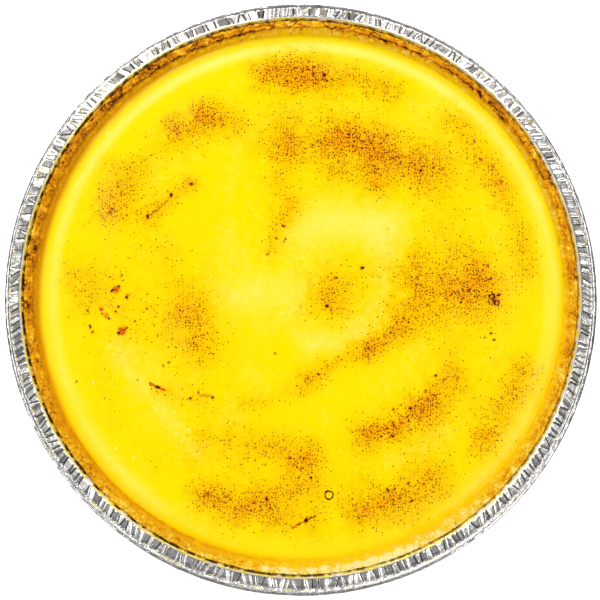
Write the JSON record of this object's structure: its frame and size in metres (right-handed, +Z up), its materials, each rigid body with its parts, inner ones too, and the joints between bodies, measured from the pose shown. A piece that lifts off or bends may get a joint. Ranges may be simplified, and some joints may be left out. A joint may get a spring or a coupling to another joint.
{
  "type": "lemon tart",
  "caption": "Round lemon tart with a browned shortcrust rim and a smooth yellow filling, baked in its crimped foil flan tin.",
  "frame": {"origin": "on the surface the tin stands on, under the middle of its rolled edge", "axes": "+Z up out of the filling, +Y towards the side where the flange is narrowest, +X to the right of it seen from above"},
  "size_m": [0.23, 0.23, 0.026],
  "materials": {
    "foil": "bright pressed foil with crimped flange",
    "pastry": "baked shortcrust, golden to brown, rough",
    "filling": "set lemon custard, soft gloss, lightly browned patches"
  },
  "bodies": {
    "root": {"foil_tin": "foil", "pastry_case": "pastry", "lemon_filling": "filling"}
  },
  "joints": []
}
